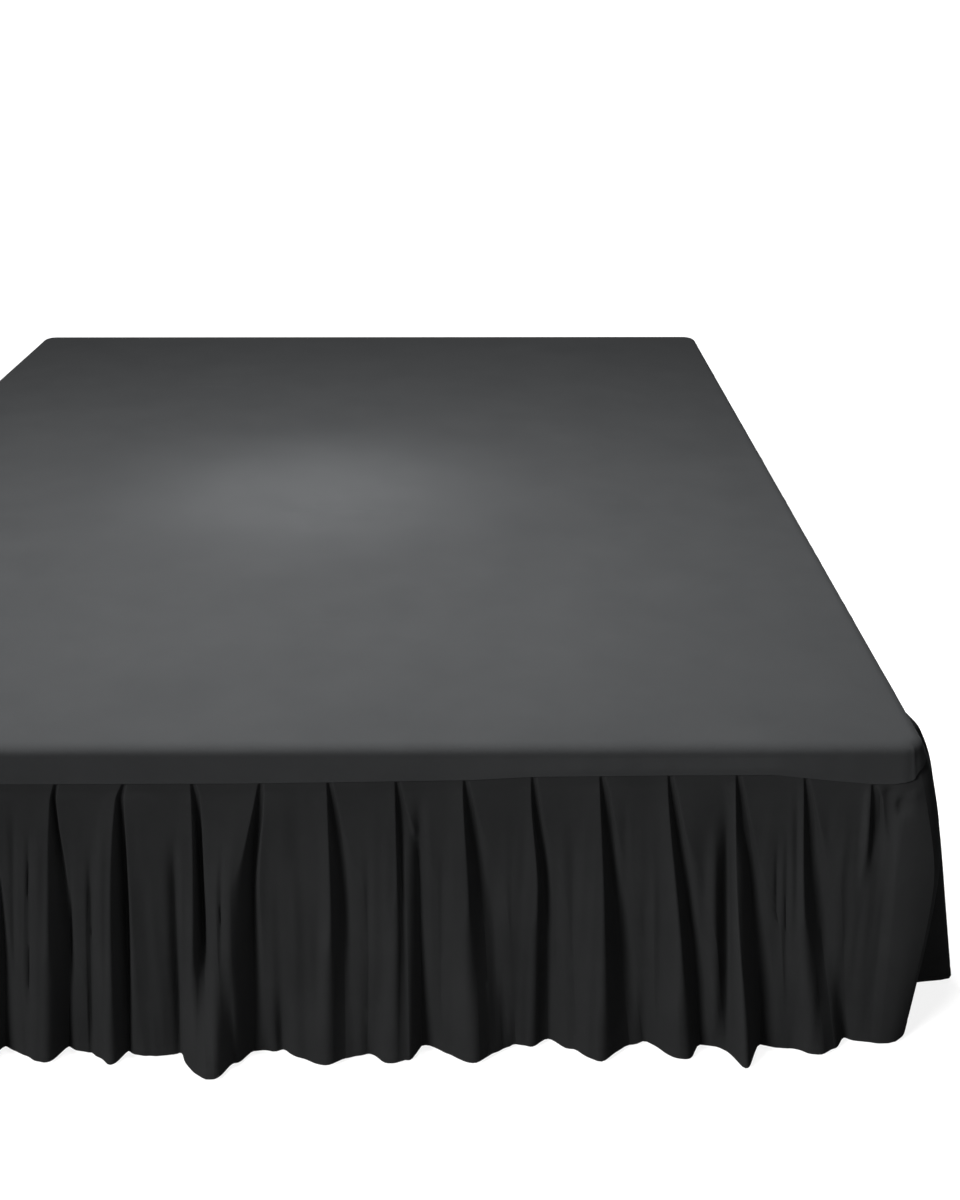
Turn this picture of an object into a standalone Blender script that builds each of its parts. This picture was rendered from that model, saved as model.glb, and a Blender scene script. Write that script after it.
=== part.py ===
"""Pleated bed skirt, fitted over a mattress that lies on a plain bed base.

The origin is on the floor under the middle of the bed. +X points to the right of someone who
looks at the foot, +Y to the head end and +Z up. Every length is in metres, apart from the two
fold tables, which are in centimetres as they would be read off a tape measure.
"""

import math
from collections import namedtuple

import bmesh
import bpy

# Bed
BED_WIDTH = 1.50
BED_LENGTH = 2.00
DECK_TOP = 0.403
MATTRESS_BOTTOM = 0.200
PLINTH_HEIGHT = 0.050
CORNER_RADIUS = 0.026
EDGE_RADIUS = 0.012
BASE_INSET = 0.006
BASE_EDGE_RADIUS = 0.006
PLINTH_INSET = 0.080
CORNER_STEPS = 6
EDGE_STEPS = 4

# Cloth
CLOTH = 0.0012
TOUCH_GAP = 0.0003
DRAPE_GAP = 0.002
HEM_HEIGHT = 0.006
SEAM_TUCK = 0.005
SEAM_TUCK_SHARE = 0.4
SEAM_TUCK_LEAN = 0.8
BAND_LIP_OUT = 0.0083
BAND_LIP_RISE = 0.007
BAND_LIP_TOP_OUT = 0.0070
BAND_LIP_SHARE = 0.5

# Depth of the turned-down band, from the deck's top to its seam
HEAD_BAND_DEPTH = 0.042
FOOT_BAND_DEPTHS = (
    # across, depth
    (-0.742, 0.0330),
    (-0.705, 0.0430),
    (-0.600, 0.0450),
    (-0.030, 0.0440),
    (0.090, 0.0425),
    (0.240, 0.0400),
    (0.310, 0.0360),
    (0.460, 0.0345),
    (0.580, 0.0340),
    (0.640, 0.0410),
    (0.690, 0.0460),
    (0.716, 0.0465),
    (0.734, 0.0430),
    (0.742, 0.0330),
)
SIDE_BAND_DEPTHS = (
    # from the middle of the foot's corner, depth
    (0.000, 0.0330),
    (0.031, 0.0200),
    (0.150, 0.0200),
    (0.400, 0.0340),
    (0.800, 0.0400),
    (1.300, 0.0370),
    (1.970, 0.0420),
)

# Pleats: how many each drop has, and how far its outer ones stand from the bed's corners
FOOT_PLEATS = 19
SIDE_PLEATS = 25
PLEAT_MARGIN = 0.0585
HEAD_END_MARGIN = 0.040

# Heights, as shares of the drop from the seam to the hem: those that the fold tables describe,
# and those at which the cloth has a row of points
FOLD_SHARES = (0.0, 0.06, 0.40, 1.0)
ROWS = (0.0, 0.06, 0.20, 0.42, 0.70, 1.0)

# A fold runs from its knee over its ridge into its tuck, and up its far edge onto the next
# panel. Each is placed along the wall, from the pleat's line at the seam, and out from the wall.
Fold = namedtuple("Fold", "knee knee_out ridge ridge_out tuck tuck_out edge edge_out")

SEAM_FOLD = Fold(-2.0, 0.56, -0.15, 0.60, 0.15, 0.38, 0.60, 0.52)

TOP_FOLDS = {
    "A": Fold(-2.4, 0.90, -0.70, 1.00, -0.40, 0.38, 0.05, 1.00),
    "B": Fold(-2.6, 0.90, -1.00, 1.00, -0.60, 0.38, 0.05, 1.05),
    "C": Fold(-1.7, 0.90, -0.10, 1.00, 0.20, 0.38, 1.00, 0.85),
    "D": Fold(-2.3, 0.90, -0.60, 0.95, -0.30, 0.38, 0.50, 1.00),
    "E": Fold(-1.7, 0.85, -0.10, 1.00, 0.20, 0.38, 1.00, 0.80),
    "F": Fold(-1.6, 0.85, -0.10, 0.95, 0.10, 0.38, 1.00, 0.85),
    "G": Fold(-1.7, 0.90, -0.10, 1.05, 0.20, 0.38, 1.10, 0.85),
    "H": Fold(-1.6, 0.85, -0.10, 0.95, 0.10, 0.38, 0.90, 0.80),
    "I": Fold(-1.7, 0.90, 0.00, 1.00, 0.25, 0.38, 1.20, 0.85),
    "J": Fold(-1.6, 0.90, 0.00, 1.00, 0.30, 0.38, 1.10, 0.85),
    "K": Fold(-1.3, 0.75, -0.05, 1.10, 0.30, 0.38, 1.10, 0.80),
    "L": Fold(-1.6, 0.85, 0.00, 1.00, 0.25, 0.38, 1.20, 0.80),
    "M": Fold(-1.7, 0.85, -0.10, 0.95, 0.20, 0.38, 1.40, 0.95),
    "N": Fold(-1.3, 1.90, 0.00, 1.50, 0.30, 0.38, 1.00, 0.90),
    "O": Fold(-3.0, 1.70, -1.50, 2.90, 0.20, 0.50, 1.10, 0.90),
}

MID_FOLDS = {
    "A": Fold(-3.3, 2.6, -1.7, 3.1, -0.1, 1.1, 0.6, 1.8),
    "B": Fold(-3.9, 2.4, -2.2, 3.1, -0.9, 0.7, -0.1, 2.3),
    "C": Fold(-1.9, 2.4, -0.4, 2.9, 0.2, 0.9, 1.1, 2.6),
    "D": Fold(-4.5, 3.4, -3.0, 3.2, -1.5, 0.9, -0.6, 2.2),
    "E": Fold(-1.7, 2.4, 0.0, 2.9, 1.0, 1.0, 2.6, 1.8),
    "F": Fold(-1.5, 2.4, 0.0, 2.7, 0.35, 1.7, 3.4, 1.6),
    "G": Fold(-1.2, 2.3, 0.5, 2.8, 1.6, 0.9, 3.4, 1.5),
    "H": Fold(-0.7, 1.9, 0.8, 2.3, 1.4, 0.7, 2.8, 1.6),
    "I": Fold(-1.6, 2.4, 0.7, 2.8, 1.8, 0.7, 3.2, 1.6),
    "J": Fold(0.0, 2.0, 1.4, 2.6, 2.5, 0.7, 3.7, 2.0),
    "K": Fold(-0.1, 0.9, 0.6, 3.4, 2.7, 0.4, 3.9, 1.5),
    "L": Fold(-0.6, 2.0, 0.7, 2.5, 2.2, 0.6, 4.0, 1.8),
    "M": Fold(-1.1, 1.85, 0.3, 1.95, 1.2, 1.85, 2.5, 2.0),
    "N": Fold(-1.5, 4.3, 0.2, 3.2, 1.8, 1.8, 3.2, 2.4),
    "O": Fold(-3.0, 3.4, -1.4, 7.3, 1.4, 2.0, 3.4, 1.6),
}

HEM_FOLDS = {
    "A": Fold(-5.2, 4.2, -3.3, 6.0, -1.8, 2.4, -0.2, 3.2),
    "B": Fold(-5.4, 3.8, -3.3, 6.1, -2.1, 3.3, -1.0, 4.2),
    "C": Fold(-3.5, 3.6, -1.9, 6.4, 0.2, 8.1, 2.1, 8.1),
    "D": Fold(-4.6, 5.7, -3.8, 5.3, -2.6, 2.9, -0.4, 3.4),
    "E": Fold(-3.6, 4.6, -1.3, 6.2, 0.9, 4.6, 2.8, 4.2),
    "F": Fold(-3.2, 3.7, -1.2, 5.9, 0.7, 4.6, 3.4, 2.2),
    "G": Fold(-1.6, 3.8, 0.8, 6.0, 2.9, 4.1, 5.4, 1.9),
    "H": Fold(-0.7, 2.3, 0.6, 2.8, 2.0, 0.9, 5.0, 3.2),
    "I": Fold(-0.8, 4.5, 1.6, 5.3, 4.1, 1.9, 7.2, 2.1),
    "J": Fold(1.5, 4.3, 3.9, 5.1, 5.0, 2.1, 7.7, 3.0),
    "K": Fold(1.2, 4.0, 2.6, 7.3, 4.6, 2.1, 7.1, 3.0),
    "L": Fold(1.6, 3.0, 3.7, 4.5, 5.8, 3.0, 7.6, 0.8),
    "M": Fold(0.9, 1.4, 1.8, 1.9, 2.4, 2.0, 3.0, 2.0),
    "N": Fold(-2.2, 2.2, -0.6, 2.0, 1.2, 1.8, 3.0, 3.0),
    "O": Fold(-3.8, 5.3, -3.0, 11.5, 1.6, 4.5, 4.6, 3.4),
}

# The folds of each drop in order: across the foot from the left, and from the foot to the head
FOOT_ORDER = "LMEDBAABCDEFGHIJKLM"
RIGHT_ORDER = "NOHJLMCEFGIKMCDFHJKMEGILM"
LEFT_ORDER = "NKMEGHJLMCFIKMCDGIJMEFHLM"

# How far out the cloth turns the foot's corners, at the fold tables' heights
CORNER_OUT = (0.0048, 0.014, 0.041, 0.025)
FOOT_CORNER_OUT = (0.0046, 0.011, 0.032, 0.023)
SIDE_CORNER_OUT = (0.0046, 0.016, 0.037, 0.024)
# How far out a side drop ends at the head, at the same heights
HEAD_END_OUT = (0.0048, 0.008, 0.016, 0.024)

# Length of each fold's rounding, from where it starts to the corner, at the same heights
SHARP_ROUNDING = (0.0008, 0.0010, 0.004, 0.012)
SOFT_ROUNDING = (0.0030, 0.0030, 0.009, 0.014)
# How far the bottom of a tuck spreads towards the far edge, at the same heights
FLOOR_SPREAD = (0.60, 0.85, 0.45, 0.30)
CENTIMETRE = 0.01
LEAST_STEP = 0.0015
FLOOR_RISE = 0.15
FRONT_HALF_TURN = math.pi / 4

CHARCOAL = (0.022, 0.022, 0.023)
DEEP_CHARCOAL = (0.014, 0.014, 0.015)
TICKING = (0.62, 0.61, 0.58)
BASE_CLOTH = (0.16, 0.16, 0.165)
PLINTH_PAINT = (0.03, 0.03, 0.03)


def clear_scene():
    for thing in list(bpy.data.objects):
        bpy.data.objects.remove(thing, do_unlink=True)


def make_collection(name):
    collection = bpy.data.collections.new(name)
    bpy.context.scene.collection.children.link(collection)
    return collection


def make_material(name, colour, roughness):
    material = bpy.data.materials.new(name)
    material.use_nodes = True
    shader = material.node_tree.nodes["Principled BSDF"]
    shader.inputs["Base Color"].default_value = (*colour, 1.0)
    shader.inputs["Roughness"].default_value = roughness
    shader.inputs["Metallic"].default_value = 0.0
    return material


def place(collection, name, mesh, material):
    mesh.materials.append(material)
    thing = bpy.data.objects.new(name, mesh)
    collection.objects.link(thing)
    return thing


# Bed outline: a wall is given by half its straight run and its distance from the middle


def along_wall(half_run, wall_out, along, out):
    """Point at a distance along and out from a wall that turns the bed's rounded corners."""
    past = abs(along) - half_run
    if past <= 0:
        return along, wall_out + out
    turn = past / CORNER_RADIUS
    reach = CORNER_RADIUS + out
    side = math.copysign(1.0, along)
    return (
        side * (half_run + reach * math.sin(turn)),
        wall_out - CORNER_RADIUS + reach * math.cos(turn),
    )


FOOT_HALF_RUN = BED_WIDTH / 2 - CORNER_RADIUS
SIDE_HALF_RUN = BED_LENGTH / 2 - CORNER_RADIUS
CORNER_ARC = CORNER_RADIUS * FRONT_HALF_TURN


def foot_point(along, out):
    x, away = along_wall(FOOT_HALF_RUN, BED_LENGTH / 2, along, out)
    return x, -away


def head_point(along, out):
    x, y = foot_point(along, out)
    return -x, -y


def side_point(side, from_corner, out):
    """Point on a side drop, from the middle of the foot's corner towards the head."""
    along = SIDE_HALF_RUN + CORNER_ARC - from_corner
    toward_foot, away = along_wall(SIDE_HALF_RUN, BED_WIDTH / 2, along, out)
    return side * away, -toward_foot


def right_point(from_corner, out):
    return side_point(1, from_corner, out)


def left_point(from_corner, out):
    return side_point(-1, from_corner, out)


# Band seam


def between(rows, at):
    """Value at a place, read from rows of place and value."""
    if at <= rows[0][0]:
        return rows[0][1]
    for (start, low), (end, high) in zip(rows, rows[1:]):
        if at <= end:
            return low + (high - low) * (at - start) / (end - start)
    return rows[-1][1]


def foot_seam(along):
    return DECK_TOP - between(FOOT_BAND_DEPTHS, along)


def side_seam(from_corner):
    return DECK_TOP - between(SIDE_BAND_DEPTHS, from_corner)


def band_below_edge(seam):
    """Height of the band under the deck's rounded edge."""
    return DECK_TOP - CLOTH - TOUCH_GAP - EDGE_RADIUS - seam


# Folds


def through(values, share):
    """Smooth value at a share of the drop that stays between the values above and below it."""
    rises = [
        (high - low) / (end - start)
        for low, high, start, end in zip(values, values[1:], FOLD_SHARES, FOLD_SHARES[1:])
    ]
    slopes = [rises[0]]
    for one, two in zip(rises, rises[1:]):
        slopes.append(2 * one * two / (one + two) if one * two > 0 else 0.0)
    slopes.append(rises[-1])
    index = 0
    while index < len(rises) - 1 and share > FOLD_SHARES[index + 1]:
        index += 1
    width = FOLD_SHARES[index + 1] - FOLD_SHARES[index]
    step = (share - FOLD_SHARES[index]) / width
    back = 1 - step
    return (
        values[index] * (1 + 2 * step) * back * back
        + values[index + 1] * (3 - 2 * step) * step * step
        + slopes[index] * width * step * back * back
        - slopes[index + 1] * width * step * step * back
    )


def fold_corners(name, line, share):
    """A fold's five corners at one height, as places along and out from the wall."""
    levels = zip(SEAM_FOLD, TOP_FOLDS[name], MID_FOLDS[name], HEM_FOLDS[name])
    fold = Fold(*(through(level, share) * CENTIMETRE for level in levels))
    spread = through(FLOOR_SPREAD, share)
    return [
        (line + fold.knee, fold.knee_out),
        (line + fold.ridge, fold.ridge_out),
        (line + fold.tuck, fold.tuck_out),
        (
            line + fold.tuck + (fold.edge - fold.tuck) * spread,
            fold.tuck_out + (fold.edge_out - fold.tuck_out) * FLOOR_RISE * spread,
        ),
        (line + fold.edge, fold.edge_out),
    ]


def keep_in_order(corners, end):
    """Corners that follow each other along the wall with a little room between them."""
    kept = [corners[0]]
    for left, (along, out) in enumerate(corners[1:], 1):
        lowest = kept[-1][0] + LEAST_STEP
        highest = end - LEAST_STEP * (len(corners) - 1 - left)
        kept.append((min(max(along, lowest), highest), out))
    return kept


def toward(start, end, distance):
    length = math.hypot(end[0] - start[0], end[1] - start[1])
    share = min(distance / length, 0.45)
    return (
        start[0] + (end[0] - start[0]) * share,
        start[1] + (end[1] - start[1]) * share,
    )


def rounded(before, corner, after, rounding, points):
    """Points along the curve that rounds one corner of a drop's plan."""
    first = toward(corner, before, rounding)
    last = toward(corner, after, rounding)
    curve = []
    for index in range(points):
        share = 0.5 if points == 1 else index / (points - 1)
        back = 1 - share
        curve.append(
            tuple(
                back * back * a + 2 * back * share * b + share * share * c
                for a, b, c in zip(first, corner, last)
            )
        )
    return curve


# Each corner of a fold: how many points round it, and how sharp it is
Rounding = namedtuple("Rounding", "points lengths")
SOFT_TURN = Rounding(1, SOFT_ROUNDING)
FOOT_ROUNDINGS = (
    SOFT_TURN,
    Rounding(3, SHARP_ROUNDING),
    Rounding(1, SHARP_ROUNDING),
    Rounding(1, SHARP_ROUNDING),
    Rounding(2, SHARP_ROUNDING),
)
SIDE_ROUNDINGS = (
    SOFT_TURN,
    Rounding(2, SHARP_ROUNDING),
    Rounding(1, SHARP_ROUNDING),
    Rounding(1, SHARP_ROUNDING),
    SOFT_TURN,
)


def drop_plan(order, lines, before, after, roundings, share):
    """Middle line of a drop's cloth at one height, as places along and out from its wall.

    before and after are the places along, with their ways out, that come before the first fold
    and after the last one.
    """
    corners = [(along, through(out, share)) for along, out in before]
    for name, line in zip(order, lines):
        corners += fold_corners(name, line, share)
    corners += [(along, through(out, share)) for along, out in after]
    corners = keep_in_order(corners, after[-1][0])
    turns = [SOFT_TURN] * len(before) + list(roundings) * len(lines)
    turns += [SOFT_TURN] * (len(after) - 1)
    plan = [corners[0]]
    for index in range(1, len(corners) - 1):
        length = through(turns[index].lengths, share)
        left, corner, right = corners[index - 1 : index + 2]
        plan += rounded(left, corner, right, length, turns[index].points)
    plan.append(corners[-1])
    return plan


def offset(plan, distance):
    """The plan moved outwards by a distance, square to the cloth between its two cut ends."""
    moved = []
    for before, (along, out), after in zip(plan, plan[1:], plan[2:]):
        run, rise = after[0] - before[0], after[1] - before[1]
        length = math.hypot(run, rise)
        moved.append((along - rise / length * distance, out + run / length * distance))
    first, last = ((along, out + distance) for along, out in (plan[0], plan[-1]))
    return [first] + moved + [last]


def drop_mesh(name, plan_at, point_at, seam_at):
    """Closed sheet of one pleated drop, with its top edge tucked up behind the band."""
    heights = [(0.0, True)] + [(share, False) for share in ROWS]
    cloth = bmesh.new()
    faces = []
    for distance in (CLOTH / 2, -CLOTH / 2):
        sheet = []
        for share, tucked in heights:
            lean = SEAM_TUCK_LEAN if tucked else 1.0
            row = []
            for along, out in offset([(a, o * lean) for a, o in plan_at(share)], distance):
                seam = seam_at(along)
                height = seam - share * (seam - HEM_HEIGHT)
                if tucked:
                    height += min(SEAM_TUCK, SEAM_TUCK_SHARE * band_below_edge(seam))
                x, y = point_at(along, out)
                row.append(cloth.verts.new((x, y, height)))
            sheet.append(row)
        faces.append(sheet)
    outer, inner = faces
    skin(cloth, outer)
    skin(cloth, inner)
    rim = [
        (outer[0], inner[0]),
        (outer[-1], inner[-1]),
        ([row[0] for row in outer], [row[0] for row in inner]),
        ([row[-1] for row in outer], [row[-1] for row in inner]),
    ]
    for edge in rim:
        skin(cloth, edge)
    return finished(cloth, name)


def skin(mesh, rows):
    """Quads between neighbouring rows of points."""
    for upper, lower in zip(rows, rows[1:]):
        for index in range(len(upper) - 1):
            mesh.faces.new((upper[index], upper[index + 1], lower[index + 1], lower[index]))


def finished(cloth, name):
    bmesh.ops.recalc_face_normals(cloth, faces=cloth.faces)
    mesh = bpy.data.meshes.new(name)
    cloth.to_mesh(mesh)
    cloth.free()
    mesh.shade_smooth()
    mesh.set_sharp_from_angle(angle=math.radians(50))
    return mesh


def pleat_lines(count, first, last):
    return [first + (last - first) * index / (count - 1) for index in range(count)]


def build_foot_drop(collection, material):
    reach = BED_WIDTH / 2 - PLEAT_MARGIN
    end = FOOT_HALF_RUN + CORNER_ARC - TOUCH_GAP / 2
    lines = pleat_lines(FOOT_PLEATS, -reach, reach)

    near = end - CORNER_ARC / 2
    before = ((-end, CORNER_OUT), (-near, FOOT_CORNER_OUT))
    after = ((near, FOOT_CORNER_OUT), (end, CORNER_OUT))

    def plan_at(share):
        return drop_plan(FOOT_ORDER, lines, before, after, FOOT_ROUNDINGS, share)

    mesh = drop_mesh("skirt_foot", plan_at, foot_point, foot_seam)
    return place(collection, "skirt_foot", mesh, material)


def build_side_drop(collection, name, point_at, order, material):
    past_corner = CORNER_ARC - CORNER_RADIUS
    first = PLEAT_MARGIN + past_corner
    last = BED_LENGTH - PLEAT_MARGIN + past_corner
    start = TOUCH_GAP / 2
    end = BED_LENGTH - HEAD_END_MARGIN + past_corner
    lines = pleat_lines(SIDE_PLEATS, first, last)

    before = ((start, CORNER_OUT), (start + CORNER_ARC / 2, SIDE_CORNER_OUT))
    after = ((end, HEAD_END_OUT),)

    def plan_at(share):
        return drop_plan(order, lines, before, after, SIDE_ROUNDINGS, share)

    mesh = drop_mesh(name, plan_at, point_at, side_seam)
    return place(collection, name, mesh, material)


# Deck


def deck_outline():
    """Stations round the bed: places along each wall in turn, the wall's map and its seams."""
    foot_end = FOOT_HALF_RUN + CORNER_ARC
    side_end = SIDE_HALF_RUN + CORNER_ARC
    turn = CORNER_ARC / (CORNER_STEPS / 2)
    past_turns = [turn * step for step in range(CORNER_STEPS // 2)]
    foot = [-foot_end + past for past in past_turns]
    foot += [across for across, depth in FOOT_BAND_DEPTHS if abs(across) < FOOT_HALF_RUN]
    foot += [foot_end - past for past in reversed(past_turns)][:-1]
    straight = (CORNER_ARC, 2 * side_end - CORNER_ARC)
    side = past_turns + [straight[0]]
    side += [place for place, depth in SIDE_BAND_DEPTHS if straight[0] < place < straight[1]]
    side += [straight[1]] + [2 * side_end - past for past in reversed(past_turns)][:-1]
    head = [-foot_end + past for past in past_turns] + [-FOOT_HALF_RUN, 0.0, FOOT_HALF_RUN]
    head += [foot_end - past for past in reversed(past_turns)]

    stations = [(place, foot_point, foot_seam(place)) for place in foot]
    stations += [(place, right_point, side_seam(place)) for place in side]
    stations += [(place, head_point, DECK_TOP - HEAD_BAND_DEPTH) for place in head]
    stations += [(place, left_point, side_seam(place)) for place in side[-1:0:-1]]
    return stations


def deck_profile(seam, inner):
    """Places out from the bed's side and heights, from the flat top down to the band's seam."""
    thickness = 0.0 if inner else CLOTH
    top = DECK_TOP - CLOTH + thickness
    centre = DECK_TOP - CLOTH - TOUCH_GAP - EDGE_RADIUS
    out_radius = EDGE_RADIUS + DRAPE_GAP + thickness
    profile = []
    for step in range(EDGE_STEPS + 1):
        turn = math.pi / 2 * step / EDGE_STEPS
        out = -EDGE_RADIUS + out_radius * math.sin(turn)
        profile.append((out, centre + (top - centre) * math.cos(turn)))
    lip_rise = min(BAND_LIP_RISE, BAND_LIP_SHARE * band_below_edge(seam))
    profile.append((BAND_LIP_TOP_OUT - CLOTH + thickness, seam + lip_rise))
    profile.append((BAND_LIP_OUT - CLOTH + thickness, seam))
    return profile


def build_deck(collection, material):
    stations = deck_outline()
    cloth = bmesh.new()
    surfaces = []
    for inner in (False, True):
        columns = []
        for along, point_at, seam in stations:
            column = []
            for out, height in deck_profile(seam, inner):
                x, y = point_at(along, out)
                column.append(cloth.verts.new((x, y, height)))
            columns.append(column)
        columns.append(columns[0])
        skin(cloth, columns)
        cloth.faces.new([column[0] for column in columns[:-1]])
        surfaces.append(columns)
    outer, inner = surfaces
    skin(cloth, [[column[-1] for column in outer], [column[-1] for column in inner]])
    return place(collection, "deck", finished(cloth, "deck"), material)


# Bed under the cloth


def build_block(collection, name, width, length, bottom, top, corner, edge, material):
    """Upright block with rounded corners, and its top and bottom edges rounded too."""
    bpy.ops.mesh.primitive_cube_add(size=1, location=(0, 0, (bottom + top) / 2))
    block = bpy.context.active_object
    block.name = name
    block.scale = (width, length, top - bottom)
    bpy.ops.object.transform_apply(location=False, rotation=False, scale=True)
    for other in block.users_collection:
        other.objects.unlink(block)
    collection.objects.link(block)
    block.data.name = name
    block.data.materials.append(material)
    weights = block.data.attributes.new("bevel_weight_edge", "FLOAT", "EDGE")
    for item in block.data.edges:
        one, two = (block.data.vertices[index].co for index in item.vertices)
        weights.data[item.index].value = 1.0 if abs(one.z - two.z) > 0.01 else 0.0
    corners = block.modifiers.new("corners", "BEVEL")
    corners.limit_method = "WEIGHT"
    corners.width = corner
    corners.segments = CORNER_STEPS
    edges = block.modifiers.new("edges", "BEVEL")
    edges.limit_method = "ANGLE"
    edges.angle_limit = math.radians(60)
    edges.width = edge
    edges.segments = EDGE_STEPS
    return block


def main():
    clear_scene()
    parts = make_collection("bed_skirt")
    deck_cloth = make_material("deck_cloth", CHARCOAL, 0.75)
    skirt_cloth = make_material("skirt_cloth", DEEP_CHARCOAL, 0.8)
    ticking = make_material("ticking", TICKING, 0.85)
    base_cloth = make_material("base_cloth", BASE_CLOTH, 0.85)
    plinth_paint = make_material("plinth_paint", PLINTH_PAINT, 0.6)

    build_deck(parts, deck_cloth)
    build_foot_drop(parts, skirt_cloth)
    build_side_drop(parts, "skirt_right", right_point, RIGHT_ORDER, skirt_cloth)
    build_side_drop(parts, "skirt_left", left_point, LEFT_ORDER, skirt_cloth)

    build_block(
        parts,
        "mattress",
        BED_WIDTH,
        BED_LENGTH,
        MATTRESS_BOTTOM,
        DECK_TOP - CLOTH - TOUCH_GAP,
        CORNER_RADIUS,
        EDGE_RADIUS,
        ticking,
    )
    build_block(
        parts,
        "base",
        BED_WIDTH - 2 * BASE_INSET,
        BED_LENGTH - 2 * BASE_INSET,
        PLINTH_HEIGHT + TOUCH_GAP,
        MATTRESS_BOTTOM - TOUCH_GAP,
        CORNER_RADIUS - BASE_INSET,
        BASE_EDGE_RADIUS,
        base_cloth,
    )
    build_block(
        parts,
        "plinth",
        BED_WIDTH - 2 * PLINTH_INSET,
        BED_LENGTH - 2 * PLINTH_INSET,
        0.0,
        PLINTH_HEIGHT,
        CORNER_RADIUS / 2,
        BASE_EDGE_RADIUS / 2,
        plinth_paint,
    )


main()
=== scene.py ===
"""Looks of the pleated bed skirt: its cloth, the mattress and bed base under it, and the studio.

The frame's origin is on the floor under the middle of the bed. +X points to the right of someone
who looks at the foot, +Y to the head end and +Z up. Every length is in metres, apart from the
fold tables, which are in centimetres as in the model's source.
"""

import math
from collections import namedtuple

import bmesh
import bpy
import numpy as np
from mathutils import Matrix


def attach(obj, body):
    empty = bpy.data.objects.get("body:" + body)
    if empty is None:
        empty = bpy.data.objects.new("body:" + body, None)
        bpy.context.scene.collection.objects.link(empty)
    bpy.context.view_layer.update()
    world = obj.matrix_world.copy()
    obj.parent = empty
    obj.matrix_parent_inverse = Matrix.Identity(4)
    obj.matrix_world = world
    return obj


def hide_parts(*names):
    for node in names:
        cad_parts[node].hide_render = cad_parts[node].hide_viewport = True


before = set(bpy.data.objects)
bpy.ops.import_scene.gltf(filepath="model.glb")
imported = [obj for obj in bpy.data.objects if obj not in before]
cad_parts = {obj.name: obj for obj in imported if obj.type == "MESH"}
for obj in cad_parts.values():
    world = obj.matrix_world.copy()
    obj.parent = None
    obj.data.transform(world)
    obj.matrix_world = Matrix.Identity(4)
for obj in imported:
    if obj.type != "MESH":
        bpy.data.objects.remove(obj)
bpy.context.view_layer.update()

# Camera, at the photograph's viewing angle
CAMERA_PLACE = (0.244, -2.52, 1.219)
CAMERA_DIP = math.radians(22.82)
CAMERA_TURN = math.radians(-0.187)
CAMERA_LENS = 46.0
CAMERA_CLIPS = (0.05, 100.0)

# Bed
BED_WIDTH = 1.50
BED_LENGTH = 2.00
DECK_TOP = 0.403
MATTRESS_BOTTOM = 0.200
PLINTH_HEIGHT = 0.050
CORNER_RADIUS = 0.026
EDGE_RADIUS = 0.012
BASE_INSET = 0.006
BASE_EDGE_RADIUS = 0.006
MATTRESS_CROWN = 0.004
BASE_CROWN = 0.002
CORNER_SEGMENTS = 8
EDGE_SEGMENTS = 5
CUTS_ACROSS = 36
CUTS_UP = 12
# Rise of an edge that counts as upright, and of one that still counts as level
UPRIGHT_RISE = 0.01
LEVEL_RISE = 1e-6
# How much of a face's normal points up or down, where it lies level and where it stands
LEVEL_FACE = 0.9
UPRIGHT_FACE = 0.1
# Depth from the head end of the points that swell, and how flat the swell is across and up
SWELL_REACH = 1e-4
SWELL_ACROSS = 6
SWELL_UP = 4
# Length of a wall up to where its corner starts, and a quarter turn's half at that corner
FOOT_HALF_RUN = BED_WIDTH / 2 - CORNER_RADIUS
SIDE_HALF_RUN = BED_LENGTH / 2 - CORNER_RADIUS
CORNER_ARC = CORNER_RADIUS * math.pi / 4

# Cloth
CLOTH = 0.0012
TOUCH_GAP = 0.0003
SEAM_GAP = 0.00004
DRAPE_GAP = 0.002
HEM_HEIGHT = 0.006
SHARP_ANGLE = math.radians(70)
# A drop's top edge goes up behind the band: how far, the most of the band's height that it
# takes up, and its distance out as a share of the seam's
SEAM_TUCK = 0.005
SEAM_TUCK_SHARE = 0.4
SEAM_TUCK_LEAN = 0.8
# Band's lower edge: how far out its bottom stands, how tall it is, how far out its top stands,
# and the most of the band's height that it takes up
BAND_LIP_OUT = 0.0083
BAND_LIP_RISE = 0.007
BAND_LIP_TOP_OUT = 0.0070
BAND_LIP_SHARE = 0.5

# Depth of the turned-down band, from the deck's top to its seam
HEAD_BAND_DEPTH = 0.042
FOOT_BAND_DEPTHS = (
    # across, depth
    (-0.742, 0.0330),
    (-0.705, 0.0430),
    (-0.600, 0.0450),
    (-0.030, 0.0440),
    (0.090, 0.0425),
    (0.240, 0.0400),
    (0.310, 0.0360),
    (0.460, 0.0345),
    (0.580, 0.0340),
    (0.640, 0.0410),
    (0.690, 0.0460),
    (0.716, 0.0465),
    (0.734, 0.0430),
    (0.742, 0.0330),
)
SIDE_BAND_DEPTHS = (
    # from the middle of the foot's corner, depth
    (0.000, 0.0330),
    (0.031, 0.0200),
    (0.150, 0.0200),
    (0.400, 0.0340),
    (0.800, 0.0400),
    (1.300, 0.0370),
    (1.970, 0.0420),
)

# Pleats
FOOT_PLEATS = 19
SIDE_PLEATS = 25
PLEAT_MARGIN = 0.0585
HEAD_END_MARGIN = 0.040
CENTIMETRE = 0.01

# Heights that the fold tables describe, as shares of the drop from the seam to the hem
FOLD_SHARES = np.array((0.0, 0.06, 0.40, 1.0))

# A fold runs from its knee over its ridge into its tuck, and up its far edge onto the next
# panel. Each is placed along the wall, from the pleat's line at the seam, and out from the wall.
Fold = namedtuple("Fold", "knee knee_out ridge ridge_out tuck tuck_out edge edge_out")

SEAM_FOLD = Fold(-2.0, 0.56, -0.15, 0.60, 0.15, 0.38, 0.60, 0.52)

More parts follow.
